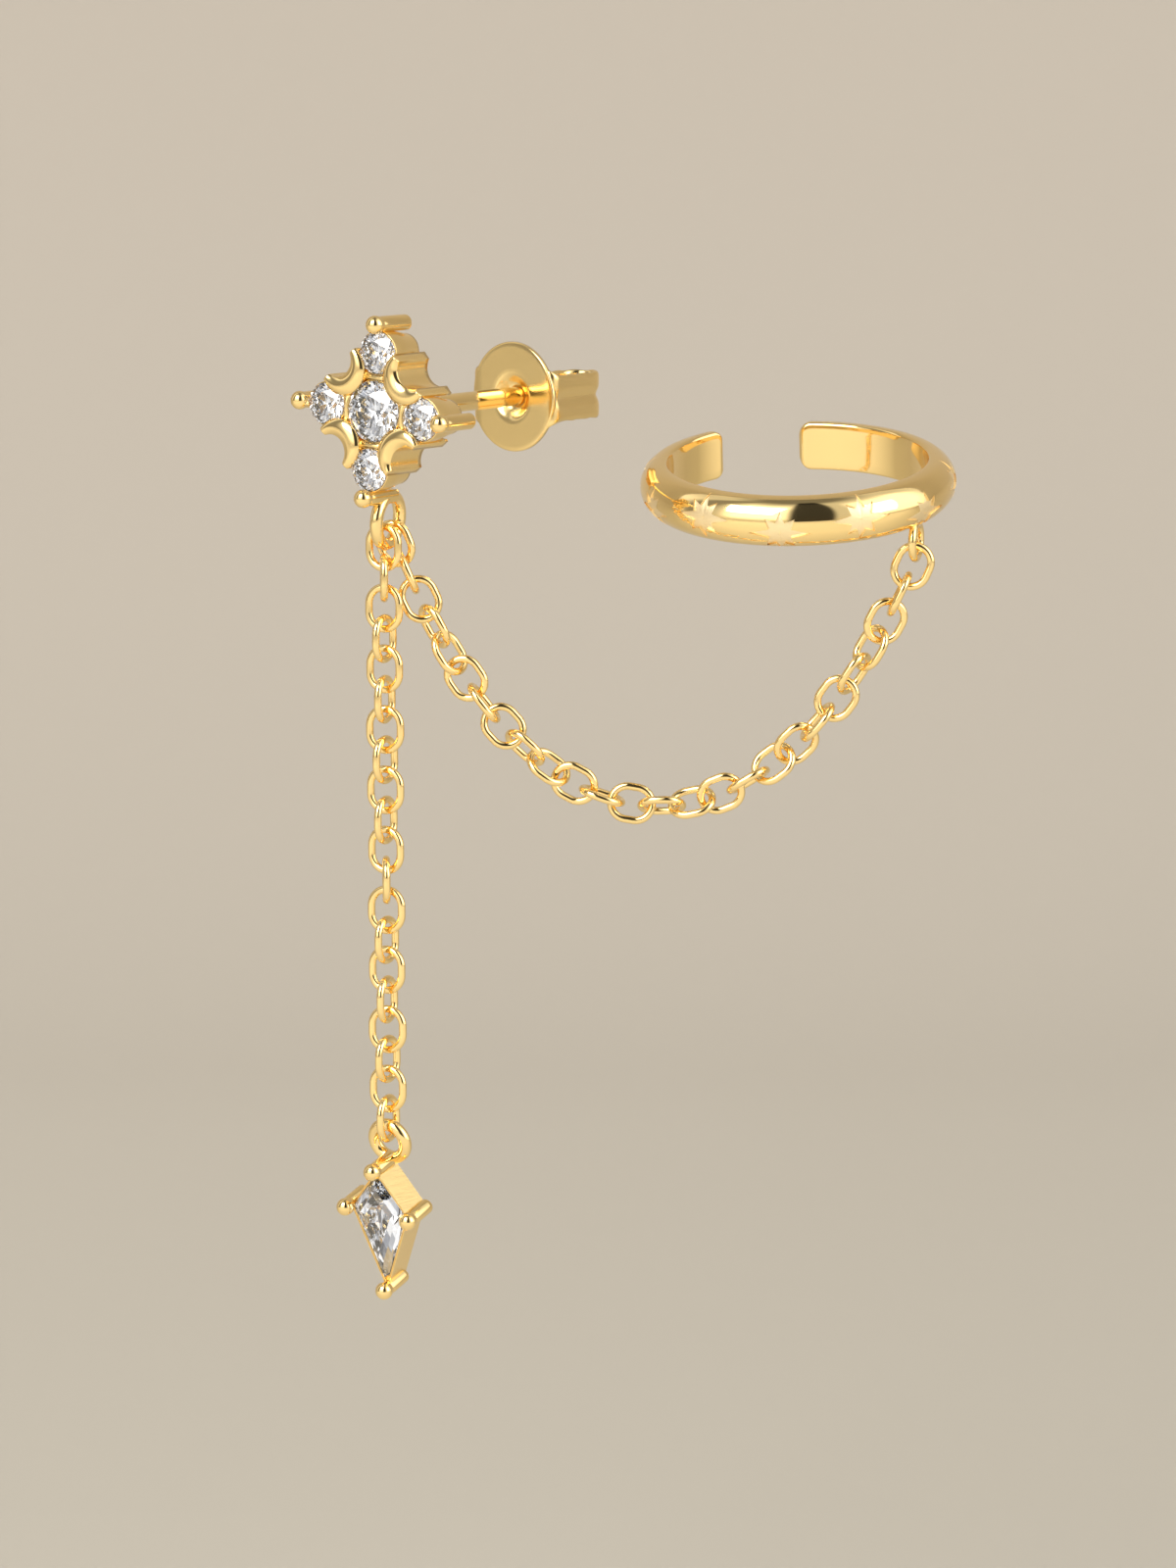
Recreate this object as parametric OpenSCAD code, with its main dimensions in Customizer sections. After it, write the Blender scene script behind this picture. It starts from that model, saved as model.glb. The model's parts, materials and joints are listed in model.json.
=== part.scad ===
// Ear chain earring: a cross-shaped stud with round stones and crescent moons, its butterfly
// clutch, a straight chain with a kite-cut pendant, and a hanging chain to an open ear cuff.
// Millimetres. The origin is on the post's axis at the back of the stud, where it sits on the
// ear lobe. +Y runs back along the post, +X to the viewer's right, +Z up.

/* [Stud] */
// Diameter of the stone in the middle of the cross
centre_stone_d = 2.5; // [2.3:0.05:2.8]
// Diameter of each stone on an arm of the cross
side_stone_d = 1.75; // [1.6:0.05:1.9]
// Metal between the centre stone and a side stone
stone_gap = 0.26; // [0.2:0.01:0.35]
// Wall of a stone seat, outside the stone
seat_wall = 0.14; // [0.12:0.01:0.25]
// From the back of the stud to the widest line of its stones
seat_depth = 1.9; // [1.7:0.05:2.4]
// Plate left at the back of the centre seat, which carries the post
back_plate = 0.45; // [0.3:0.05:0.6]
// Diameter of the bead on each prong of the stud
bead_d = 0.76; // [0.65:0.01:0.85]
// Diameter of the rod behind each bead of the stud
rod_d = 0.68; // [0.5:0.01:0.72]
// How far the whole cross is turned about its post, in degrees
stud_turn = 5.5; // [0:0.5:8]

/* [Moons] */
// Diameter of a crescent moon's outer circle
moon_d = 2.0; // [1.8:0.05:2.2]
// Diameter of the circle that is cut out of a moon
moon_cut_d = 1.62; // [1.4:0.02:1.7]
// Widest part of a crescent, between its two circles
moon_width = 0.66; // [0.5:0.02:0.75]
// How far a moon or a bead reaches over the edge of a stone
hold = 0.1; // [0.06:0.01:0.14]
// How far a moon stands in front of the widest line of the stones
moon_rise = 0.38; // [0.25:0.01:0.5]

/* [Post and clutch] */
// Diameter of the ear post
post_d = 0.8; // [0.7:0.02:0.9]
// Length of the ear post behind the stud
post_l = 11; // [10.5:0.1:12]
// Bare post between the stud and the clutch, where the ear lobe goes
lobe_room = 7.7; // [6:0.1:8.6]
// Radial clearance of the post in the clutch
clutch_clear = 0.05; // [0.03:0.01:0.08]
// Diameter of the clutch's disc
disc_d = 4.6; // [4.2:0.1:5.4]
// Thickness of the sheet that the clutch is pressed from
sheet = 0.25; // [0.2:0.01:0.3]
// Diameter of the dimple round the clutch's hole
dimple_d = 2.1; // [1.7:0.05:2.5]
// Depth of that dimple
dimple_h = 0.4; // [0.25:0.05:0.5]
// Height of the strip that is rolled into the wings
wing_h = 2.0; // [1.6:0.1:2.4]
// Width of one rolled wing across the post
wing_w = 1.85; // [1.6:0.05:2.1]
// Length of one rolled wing along the post
wing_l = 3.1; // [2.6:0.1:3.4]

/* [Loops and links] */
// Wire diameter of the loop soldered under the stud
stud_loop_wire = 0.54; // [0.5:0.02:0.58]
// Outer diameter of that loop
stud_loop_d = 2.54; // [2.48:0.02:2.8]
// How far that loop is turned about a vertical line, in degrees
stud_loop_turn = 9; // [0:1:15]
// Wire diameter of the chains
link_wire = 0.32; // [0.28:0.01:0.34]
// Outer length of a link
link_l = 2.03; // [1.98:0.01:2.2]
// Outer width of a link
link_w = 1.68; // [1.6:0.02:1.8]
// Clearance between neighbouring links and loops
link_clear = 0.14; // [0.13:0.01:0.16]
// Links in the straight chain
drop_links = 20; // [6:1:30]

/* [Swag and cuff] */
// Links in the hanging chain
swag_links = 26; // [22:1:34]
// Level distance that the hanging chain spans
swag_span = 21.8; // [19:0.1:25]
// How much lower the hanging chain ends than it starts
swag_fall = 0.8; // [0:0.1:2]
// Direction of the hanging chain, counted from +X towards +Y, in degrees
swag_turn = 30; // [0:1:45]
// Inner diameter of the ear cuff
cuff_inner_d = 10.7; // [9.5:0.1:12]
// Thickness of the band at its fullest
cuff_wall = 1.15; // [1.0:0.05:1.4]
// Height of the band
cuff_h = 2.05; // [1.8:0.05:2.4]
// Thickness of the band at its upper and lower edge
cuff_edge = 0.4; // [0.3:0.05:0.5]
// Opening of the band, in degrees
cuff_gap = 35; // [30:1:50]
// How far the cuff leans, in degrees
cuff_lean = 11; // [0:1:15]
// Wire diameter of the small loop under the cuff
cuff_loop_wire = 0.34; // [0.3:0.02:0.44]
// Outer diameter of that loop
cuff_loop_d = 1.75; // [1.6:0.05:2]
// Width of an engraved star
star_w = 2.6; // [2.2:0.1:2.8]
// Height of an engraved star
star_h = 1.8; // [1.4:0.1:2]
// Depth of the engraving
star_depth = 0.1; // [0.06:0.01:0.14]
// Degrees from one star to the next
star_step = 30; // [28:1:40]

/* [Pendant] */
// Half the width of the kite-cut stone
kite_half_w = 1.28; // [1.1:0.02:1.4]
// From the kite's widest line up to its upper corner
kite_up = 1.7; // [1.5:0.02:1.8]
// From the kite's widest line down to its lower corner
kite_down = 3.4; // [3:0.05:3.6]
// Wall of the kite's frame
kite_wall = 0.13; // [0.1:0.01:0.2]
// Depth of the kite's frame
kite_depth = 1.3; // [1.15:0.05:1.5]
// Diameter of the bead on each prong of the pendant
kite_bead_d = 0.74; // [0.65:0.01:0.8]
// Diameter of the rod behind each bead of the pendant
kite_rod_d = 0.64; // [0.5:0.01:0.66]
// Wire diameter of the pendant's ring
ring_wire = 0.54; // [0.46:0.02:0.56]
// Outer diameter of the pendant's ring
ring_d = 2.04; // [1.98:0.02:2.3]
// How far the pendant's lower corner hangs back, in degrees
kite_lean = 16; // [0:1:20]
// How far that corner hangs to the left, in degrees
kite_roll = 5; // [0:1:8]
// How far the pendant is turned about the straight chain, in degrees
kite_yaw = 4; // [0:1:8]

/* [Fits] */
// Clearance between a stone and its seat
stone_clear = 0.03; // [0.02:0.005:0.05]

/* [Hidden] */
GOLD = "gold";
STONE = "aliceblue";
$fn = 48;

// Shares of a round stone's diameter, from a textbook brilliant cut
table_share = 0.57;
star_share = 0.8;
crown_share = 0.15;
pavilion_share = 0.42;
girdle_share = 0.03;
culet_ring_share = 0.24;

// Bearing under a stone's edge
ledge = 0.16;
// Radius that the post loses where the clutch sits, and then by its end
post_draw = 0.01;
post_tip = 0.15;
// Rolled wing: how much of it is left open beside the disc
wing_open = 0.5;
// Overlap that joins two shapes of one solid
bond = 0.05;

arm = (centre_stone_d + side_stone_d) / 2 + stone_gap;
prong_r = arm + side_stone_d / 2 - hold + bead_d / 2;
bead_rise = 0.3;
moon_r = centre_stone_d / 2 - hold + moon_d / 2;
stud_loop_r = (stud_loop_d - stud_loop_wire) / 2;
stud_loop_z = prong_r + stud_loop_r;
// The loop's back limb stands this far behind the stud
loop_back = 0.6;
stud_loop_y = loop_back - stud_loop_r;

// Links hang inside the stud's loop at this radius, side by side on its lower wire
hang_r = stud_loop_r - stud_loop_wire / 2 - link_wire / 2 - link_clear;
hang_side = 0.77 * (link_wire + link_clear);
hang_angle = asin(hang_side / hang_r);
hang_lift = sqrt(stud_loop_r * stud_loop_r - hang_side * hang_side) - hang_r * cos(hang_angle);
function turned(p) = [p[0] * cos(stud_turn) + p[2] * sin(stud_turn), p[1],
                      p[2] * cos(stud_turn) - p[0] * sin(stud_turn)];
function hang_point(side) = turned([-side * hang_side * sin(stud_loop_turn),
                                    stud_loop_y + side * hang_side * cos(stud_loop_turn),
                                    -stud_loop_z - hang_r * cos(hang_angle)]);

// A link reaches from the middle of one bow's wire to the middle of the other's
link_reach = link_l - link_wire;
link_pitch = link_reach - link_wire - link_clear;
drop_start = hang_point(-1);
drop_end = drop_start - [0, 0, (drop_links - 1) * link_pitch + link_reach];

// The hanging chain follows a catenary, z = a cosh(h / a), solved for its parameter a
swag_l = (swag_links - 1) * link_pitch + link_reach;
function sinh(x) = (exp(x) - exp(-x)) / 2;
function asinh(x) = ln(x + sqrt(x * x + 1));
swag_reach = sqrt(swag_l * swag_l - swag_fall * swag_fall);
function solve_a(low, high, steps) =
    let (mid = (low + high) / 2)
    steps == 0 ? mid
    : 2 * mid * sinh(swag_span / (2 * mid)) > swag_reach ? solve_a(mid, high, steps - 1)
    : solve_a(low, mid, steps - 1);
swag_a = solve_a(swag_span / 12, swag_span * 12, 40);
function artanh(x) = ln((1 + x) / (1 - x)) / 2;
swag_h0 = -swag_span / 2 - swag_a * artanh(swag_fall / swag_l);
swag_s0 = swag_a * sinh(swag_h0 / swag_a);
function swag_h(s) = swag_a * asinh((swag_s0 + s) / swag_a) - swag_h0;
function swag_z(s) = norm([swag_a, swag_s0 + s]) - norm([swag_a, swag_s0]);
function swag_slope(s) = atan((swag_s0 + s) / swag_a);
// Its first link pulls aslant, so it hangs across the loop's wire on the far side
swag_start = hang_point(1) + [hang_lift * cos(swag_turn) / tan(swag_slope(0)), 0, 0];
function swag_point(s) = swag_start + [swag_h(s) * cos(swag_turn), swag_h(s) * sin(swag_turn),
                                       swag_z(s)];

// How each link of the hanging chain is turned about the chain, in degrees; 0 faces the viewer
swag_rolls = [20, 80, 172, 57, 122, 7, 90, 172, 57, 122, 7, 90, 172, 62, 128, 13, 78, 143, 28, 100,
              0, 65, 130, 15, 92, 0];
// The same for the straight chain, added to its turns of 90 degrees
drop_rolls = [6, 38, 12, 6, 8, 12, 14, 4, 10, 8];

// Ear cuff: a D-shaped section turned round its own axis
cuff_in_r = cuff_inner_d / 2;
cuff_out_r = cuff_in_r + cuff_wall;
cuff_mid_r = cuff_in_r + cuff_wall / 2;
dome_sag = cuff_wall - cuff_edge;
dome_r = (cuff_h * cuff_h / 4 + dome_sag * dome_sag) / (2 * dome_sag);
cuff_loop_r = (cuff_loop_d - cuff_loop_wire) / 2;
// Direction from the cuff's middle to its loop, to its lean and to its opening, in degrees
cuff_loop_at = -4;
cuff_lean_at = -64;
cuff_gap_at = 139.5;
cuff_loop_plane = -72;
star_low = -0.3;
star_high = 0.12;
// Slanting rays and the waist between rays, over the star's half height
star_ray_share = 0.96;
star_waist_share = 0.42;
// A star stands above the loop, and the others follow where the band holds a whole one
star_room = (360 - cuff_gap) / 2 - asin(star_w / 2 / cuff_out_r);
star_turns = [for (k = [-9:9])
    if (abs(cuff_loop_at + 180 - cuff_gap_at + star_step * k) < star_room) k];
// The loop's middle lies under the band, and the chain's last bow hangs on its lower wire
cuff_loop_z = -cuff_h / 2 - cuff_loop_r + cuff_loop_wire / 2;
cuff_hook = cuff_loop_wire / 2 + link_wire / 2 + link_clear;
function around(angle, v) = [v[0] * cos(angle) - v[1] * sin(angle),
                             v[0] * sin(angle) + v[1] * cos(angle), v[2]];
function leaned(v) = around(cuff_lean_at, let (u = around(-cuff_lean_at, v))
    [u[0] * cos(cuff_lean) + u[2] * sin(cuff_lean), u[1],
     u[2] * cos(cuff_lean) - u[0] * sin(cuff_lean)]);
cuff_loop_local = around(cuff_loop_at, [cuff_mid_r, 0, cuff_loop_z]);
swag_end_slope = swag_slope(swag_l);
swag_end_dir = [cos(swag_end_slope) * cos(swag_turn), cos(swag_end_slope) * sin(swag_turn),
                sin(swag_end_slope)];
cuff_centre = swag_point(swag_l) - cuff_hook * swag_end_dir
              - leaned(cuff_loop_local - [0, 0, cuff_loop_r]);

// Pendant: the kite's outline, moved outwards by d
kite_edge_up = norm([kite_half_w, kite_up]);
kite_edge_down = norm([kite_half_w, kite_down]);
function kite_side(d) = kite_half_w + d * (kite_edge_up + kite_edge_down) / (kite_up + kite_down);
function kite_side_z(d) = kite_up + (d * kite_edge_up - kite_up * kite_side(d)) / kite_half_w;
function kite(d) = [[0, kite_up + d * kite_edge_up / kite_half_w],
                    [kite_side(d), kite_side_z(d)],
                    [0, -kite_down - d * kite_edge_down / kite_half_w],
                    [-kite_side(d), kite_side_z(d)]];
kite_rim = 0.08;
kite_crown = 0.42;
kite_pavilion = 1.05;
kite_girdle = 0.08;
kite_bead_rise = 0.3;
// Rings of facets: their size over the stone's outline, and their height from its edge
kite_table_share = 0.6;
kite_star_share = 0.84;
kite_star_h = 0.5 * kite_crown;
kite_deep_share = 0.62;
kite_deep_h = 0.45 * kite_pavilion;
// Heights of the ledge under the stone's edge and of the lip over it, on its own slopes
kite_apothem = kite_half_w * kite_up / kite_edge_up;
kite_ledge_h = ledge * kite_deep_h / (1 - kite_deep_share) / kite_apothem;
kite_hold_h = hold * kite_star_h / (1 - kite_star_share) / kite_apothem;
kite_bead_out = kite_bead_d / 2 - hold;
kite_corners = [[0, kite_up + kite_bead_out], [kite_half_w + kite_bead_out, 0],
                [0, -kite_down - kite_bead_out], [-kite_half_w - kite_bead_out, 0]];
ring_r = (ring_d - ring_wire) / 2;
// The ring stands this far behind the frame
ring_back = 0.15;
ring_z = kite_corners[0][1] + ring_r;
ring_y = kite_depth - ring_wire / 2 + ring_back;
// From the last link's lower wire up to the wire of the pendant's ring
ring_hook = ring_wire / 2 + link_wire / 2 + link_clear;

module ring(r, wire) {
    rotate_extrude() translate([r, 0]) circle(d = wire);
}

// A link stands in the XZ plane with its length along Z
module link() {
    bow_r = (link_w - link_wire) / 2;
    straight = link_l - link_w;
    for (end = [-1, 1]) {
        translate([0, 0, end * straight / 2])
            rotate([90 * end, 0, 0])
                rotate_extrude(angle = 180) translate([bow_r, 0]) circle(d = link_wire);
        translate([end * bow_r, 0, -straight / 2]) cylinder(d = link_wire, h = straight);
    }
}

// Round brilliant with its table towards -Y and its widest line at y = 0
module brilliant(d) {
    r = d / 2;
    half_girdle = d * girdle_share / 2;
    crown = d * crown_share;
    pavilion = d * pavilion_share;
    star_r = r * star_share;
    deep_r = r * culet_ring_share;
    half_step = 22.5;
    star_h = crown * (r - star_r * cos(half_step)) / (r - r * table_share);
    deep_h = pavilion * (1 - deep_r * cos(half_step) / r);
    function at(radius, angle, h) = [radius * sin(angle), -h, radius * cos(angle)];
    points = concat(
        [for (k = [0:7]) at(r * table_share, 45 * k, half_girdle + crown)],
        [for (k = [0:7]) at(star_r, 45 * k + half_step, half_girdle + star_h)],
        [for (k = [0:15]) at(r, half_step * k, half_girdle)],
        [for (k = [0:15]) at(r, half_step * k, -half_girdle)],
        [for (k = [0:7]) at(deep_r, 45 * k + half_step, -half_girdle - deep_h)],
        [[0, half_girdle + pavilion, 0]]);
    // First point of each ring above
    star_0 = 8;
    upper_0 = 16;
    lower_0 = 32;
    deep_0 = 48;
    culet = 56;
    faces = concat(
        [[for (k = [7:-1:0]) k]],
        [for (k = [0:7]) [k, (k + 1) % 8, star_0 + k]],
        [for (k = [0:7]) [k, star_0 + k, upper_0 + 2 * k, star_0 + (k + 7) % 8]],
        [for (k = [0:7]) [star_0 + k, upper_0 + 2 * k + 1, upper_0 + 2 * k]],
        [for (k = [0:7]) [star_0 + k, upper_0 + (2 * k + 2) % 16, upper_0 + 2 * k + 1]],
        [for (k = [0:15]) [upper_0 + k, upper_0 + (k + 1) % 16, lower_0 + (k + 1) % 16, lower_0 + k]],
        [for (k = [0:7]) [deep_0 + k, lower_0 + 2 * k, lower_0 + 2 * k + 1]],
        [for (k = [0:7]) [deep_0 + k, lower_0 + 2 * k + 1, lower_0 + (2 * k + 2) % 16]],
        [for (k = [0:7]) [culet, deep_0 + (k + 7) % 8, lower_0 + 2 * k, deep_0 + k]]);
    polyhedron(points, faces);
}

// Room for a round stone, open to the front; the metal keeps a lip of `hold` over its edge
module stone_room(d, depth) {
    r = d / 2;
    half_girdle = d * girdle_share / 2 + stone_clear;
    half_step = 22.5;
    crown_slope = 2 * crown_share * (1 - star_share * cos(half_step)) / (1 - table_share)
                  / (1 - star_share);
    pavilion_slope = 2 * pavilion_share * (1 - culet_ring_share * cos(half_step))
                     / (1 - culet_ring_share);
    front = seat_depth;
    rotate([90, 0, 0]) rotate_extrude() polygon([
        [0, -depth], [r - ledge, -depth], [r - ledge, -half_girdle - ledge * pavilion_slope],
        [r + stone_clear, -half_girdle], [r + stone_clear, half_girdle],
        [r - hold, half_girdle + hold * crown_slope], [r - hold, front], [0, front]]);
}

// Prong along Y: a rod from the back at y = back to a bead centred at y = front
module prong(rod, bead, back, front) {
    translate([0, front, 0]) sphere(d = bead);
    translate([0, back, 0]) rotate([90, 0, 0]) cylinder(d = rod, h = back - front);
}

module moon() {
    cut_r = moon_r - moon_d / 2 + moon_width + moon_cut_d / 2;
    rotate([90, 0, 0]) linear_extrude(height = seat_depth + moon_rise) difference() {
        translate([moon_r, 0]) circle(d = moon_d);
        translate([cut_r, 0]) circle(d = moon_cut_d);
    }
}

module seat(d) {
    rotate([90, 0, 0]) cylinder(d = d + 2 * seat_wall, h = seat_depth + hold);
}

module post() {
    bare_l = lobe_room - bond;
    collar_l = lobe_room + dimple_h + sheet + bond;
    rotate([-90, 0, 0]) rotate_extrude() polygon([
        [0, -back_plate], [post_d / 2, -back_plate], [post_d / 2, bare_l],
        [post_d / 2 - post_draw, collar_l], [post_d / 2 - post_tip, post_l - post_tip], [0, post_l]]);
}

module stud_setting() {
    color(GOLD) rotate([0, stud_turn, 0]) {
        difference() {
            union() {
                seat(centre_stone_d);
                for (turn = [0:90:270]) rotate([0, turn, 0]) {
                    translate([0, 0, arm]) seat(side_stone_d);
                    translate([0, 0, prong_r]) prong(rod_d, bead_d, 0, -seat_depth - bead_rise);
                    rotate([0, 45, 0]) moon();
                }
            }
            translate([0, -seat_depth, 0]) {
                stone_room(centre_stone_d, seat_depth - back_plate);
                for (turn = [0:90:270]) rotate([0, turn, 0])
                    translate([0, 0, arm]) stone_room(side_stone_d, seat_depth + bond);
            }
        }
        post();
        translate([0, stud_loop_y, -stud_loop_z]) rotate([0, 0, stud_loop_turn]) rotate([0, 90, 0])
            ring(stud_loop_r, stud_loop_wire);
    }
}

module side_stone(turn) {
    color(STONE) rotate([0, stud_turn + turn, 0]) translate([0, -seat_depth, arm])
        brilliant(side_stone_d);
}

module stone_centre() {
    color(STONE) rotate([0, stud_turn, 0]) translate([0, -seat_depth, 0]) brilliant(centre_stone_d);
}

module stone_top() {
    side_stone(0);
}

module stone_right() {
    side_stone(90);
}

module stone_bottom() {
    side_stone(180);
}

module stone_left() {
    side_stone(270);
}

module stadium(w, l) {
    for (end = [-1, 1]) translate([0, end * (l - w) / 2]) circle(d = w);
    square([w, l - w], center = true);
}

module wing() {
    inner_x = post_d / 2 + clutch_clear;
    translate([inner_x + wing_w / 2, sheet / 2 + wing_l / 2, -wing_h / 2])
        linear_extrude(height = wing_h) difference() {
            stadium(wing_w, wing_l);
            stadium(wing_w - 2 * sheet, wing_l - 2 * sheet);
            translate([-wing_w, -wing_l / 2]) square([wing_w, wing_open + dimple_h]);
        }
}

module clutch() {
    hole_r = post_d / 2 + clutch_clear;
    color(GOLD) translate([0, lobe_room, 0]) {
        rotate([-90, 0, 0]) rotate_extrude() polygon([
            [hole_r, dimple_h], [dimple_d / 2, 0], [disc_d / 2, 0], [disc_d / 2, sheet],
            [dimple_d / 2, sheet], [hole_r, dimple_h + sheet]]);
        wing();
        mirror([1, 0, 0]) wing();
    }
}

module chain_drop() {
    color(GOLD) for (i = [0:drop_links - 1])
        translate(drop_start - [0, 0, i * link_pitch + link_reach / 2])
            rotate([0, 0, 90 * (i % 2) + drop_rolls[i % len(drop_rolls)]]) link();
}

module chain_swag() {
    color(GOLD) for (i = [0:swag_links - 1]) {
        s = i * link_pitch + link_reach / 2;
        roll = i == swag_links - 1 ? 0 : swag_rolls[i % len(swag_rolls)];
        translate(swag_point(s)) rotate([0, 90 - swag_slope(s), swag_turn]) rotate([0, 0, roll]) link();
    }
}

// The band's section, `less` smaller all over its dome
module cuff_section(less) {
    intersection() {
        translate([cuff_out_r - dome_r, 0]) circle(r = dome_r - less);
        translate([cuff_in_r, -cuff_h / 2]) square([cuff_wall, cuff_h]);
    }
}

module cuff_band(less) {
    rotate([0, 0, cuff_gap_at + cuff_gap / 2])
        rotate_extrude(angle = 360 - cuff_gap) cuff_section(less);
}

// Eight-point star in the XY plane, with its long rays along X
module star() {
    long = star_w / 2;
    tall = star_h / 2;
    slant = star_ray_share * tall;
    ray = [long, slant, tall, slant];
    waist = star_waist_share * tall;
    half_step = 22.5;
    polygon([for (k = [0:15]) let (r = k % 2 == 1 ? waist : ray[(k / 2) % 4])
        [r * cos(half_step * k), r * sin(half_step * k)]]);
}

module ear_cuff() {
    color(GOLD) translate(cuff_centre)
        rotate([0, 0, cuff_lean_at]) rotate([0, cuff_lean, 0]) rotate([0, 0, -cuff_lean_at]) {
            difference() {
                cuff_band(0);
                difference() {
                    for (k = star_turns)
                        rotate([0, 0, cuff_loop_at + star_step * k])
                            translate([cuff_in_r + cuff_edge, 0, k % 2 == 0 ? star_low : star_high])
                                rotate([90, 0, 90]) linear_extrude(height = cuff_wall) star();
                    cuff_band(star_depth);
                }
            }
            translate(cuff_loop_local) rotate([0, 0, cuff_loop_plane])
                rotate([90, 0, 0]) ring(cuff_loop_r, cuff_loop_wire);
        }
}

// Puts the pendant's own frame, whose origin is in the stone, under the straight chain
module hung() {
    translate(drop_end + [0, 0, ring_hook]) rotate([kite_lean, kite_roll, kite_yaw])
        translate([0, -ring_y, -ring_z - ring_r]) children();
}

module kite_setting() {
    color(GOLD) hung() {
        difference() {
            union() {
                translate([0, kite_depth, 0]) rotate([90, 0, 0])
                    linear_extrude(height = kite_depth + kite_rim) polygon(kite(stone_clear + kite_wall));
                for (corner = kite_corners) translate([corner[0], 0, corner[1]])
                    prong(kite_rod_d, kite_bead_d, kite_depth, -kite_bead_rise);
            }
            kite_room();
        }
        translate([0, ring_y, ring_z]) rotate([90, 0, 0]) ring(ring_r, ring_wire);
    }
}

// Room for the kite-cut stone, with a ledge under its edge and an open back
module kite_room() {
    ledge_y = kite_girdle / 2 + stone_clear + kite_ledge_h;
    lip_y = -kite_girdle / 2 - stone_clear - kite_hold_h;
    translate([0, ledge_y, 0]) rotate([90, 0, 0])
        linear_extrude(height = ledge_y - lip_y) polygon(kite(stone_clear));
    translate([0, kite_depth + bond, 0]) rotate([90, 0, 0])
        linear_extrude(height = 2 * kite_depth) polygon(kite(-hold));
}

// Kite cut with its table towards -Y: rings of eight points, each turned half a step to the next
module kite_stone() {
    outline = kite(0);
    function along(q) = let (k = floor(q) % 4, t = q - floor(q))
        outline[k] * (1 - t) + outline[(k + 1) % 4] * t;
    function ring_points(share, h, shift) = [for (k = [0:7])
        let (p = along((k + shift) / 2) * share) [p[0], -h, p[1]]];
    half = kite_girdle / 2;
    shares = [[kite_table_share, half + kite_crown, 0], [kite_star_share, half + kite_star_h, 0.5],
              [1, half, 0], [1, -half, 0], [kite_deep_share, -half - kite_deep_h, 0.5]];
    points = concat([for (s = shares) each ring_points(s[0], s[1], s[2])],
                    [[0, half + kite_pavilion, 0]]);
    function at(row, k) = row * 8 + k % 8;
    culet = 8 * len(shares);
    faces = concat(
        [[for (k = [7:-1:0]) k]],
        [for (k = [0:7]) each [[at(0, k), at(0, k + 1), at(1, k)],
                               [at(1, k), at(0, k + 1), at(1, k + 1)]]],
        [for (k = [0:7]) each [[at(1, k), at(2, k + 1), at(2, k)],
                               [at(1, k), at(1, k + 1), at(2, k + 1)]]],
        [for (k = [0:7]) [at(2, k), at(2, k + 1), at(3, k + 1), at(3, k)]],
        [for (k = [0:7]) each [[at(3, k), at(3, k + 1), at(4, k)],
                               [at(4, k), at(3, k + 1), at(4, k + 1)]]],
        [for (k = [0:7]) [at(4, k), at(4, k + 1), culet]]);
    color(STONE) hung() polyhedron(points, faces);
}

stud_setting();
stone_centre();
stone_top();
stone_right();
stone_bottom();
stone_left();
clutch();
chain_drop();
chain_swag();
ear_cuff();
kite_setting();
kite_stone();
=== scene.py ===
"""Ear chain earring: its looks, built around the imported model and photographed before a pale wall."""
import json
import math

import bmesh
import bpy
import numpy as np
from mathutils import Matrix, Vector


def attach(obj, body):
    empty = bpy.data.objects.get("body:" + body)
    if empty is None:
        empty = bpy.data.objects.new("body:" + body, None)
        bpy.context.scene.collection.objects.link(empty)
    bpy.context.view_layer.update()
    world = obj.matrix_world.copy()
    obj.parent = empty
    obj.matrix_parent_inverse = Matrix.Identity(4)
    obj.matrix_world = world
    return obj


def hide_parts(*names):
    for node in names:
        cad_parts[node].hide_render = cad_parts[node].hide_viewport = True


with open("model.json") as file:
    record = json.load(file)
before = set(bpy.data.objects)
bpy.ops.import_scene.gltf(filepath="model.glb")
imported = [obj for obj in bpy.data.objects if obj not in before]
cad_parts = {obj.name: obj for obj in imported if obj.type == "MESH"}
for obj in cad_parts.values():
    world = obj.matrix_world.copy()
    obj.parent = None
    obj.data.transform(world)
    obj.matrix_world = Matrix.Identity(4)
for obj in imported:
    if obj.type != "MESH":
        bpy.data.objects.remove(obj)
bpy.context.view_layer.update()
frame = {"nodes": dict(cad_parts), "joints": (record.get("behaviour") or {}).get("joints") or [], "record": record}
MM = 0.001

# Sizes in millimetres, as in the part
CENTRE_STONE_D = 2.5
SIDE_STONE_D = 1.75
STONE_GAP = 0.26
SEAT_WALL = 0.14
SEAT_DEPTH = 1.9
BACK_PLATE = 0.45
BEAD_D = 0.76
BEAD_FRONT = 0.3
ROD_D = 0.68
STUD_TURN = 5.5
HOLD = 0.1
MOON_RISE = 0.38
POST_D = 0.8
POST_L = 11.0
POST_TIP = 0.15
POST_DRAW = 0.01
BOND = 0.05
LOBE_ROOM = 7.7
CLUTCH_CLEAR = 0.05
DISC_D = 4.6
SHEET = 0.25
DIMPLE_D = 2.1
DIMPLE_H = 0.4
WING_H = 2.0
WING_W = 1.85
WING_L = 3.1
STUD_LOOP_WIRE = 0.54
STUD_LOOP_D = 2.54
STUD_LOOP_TURN = 9.0
LOOP_BACK = 0.6
LINK_WIRE = 0.32
LINK_L = 2.03
LINK_W = 1.68
LINK_CLEAR = 0.14
CUFF_INNER_D = 10.7
CUFF_WALL = 1.15
CUFF_H = 2.05
CUFF_EDGE = 0.4
CUFF_GAP = 35.0
CUFF_LEAN = 11.0
CUFF_LEAN_AT = -64.0
CUFF_GAP_AT = 139.5
CUFF_LOOP_AT = -4.0
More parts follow.
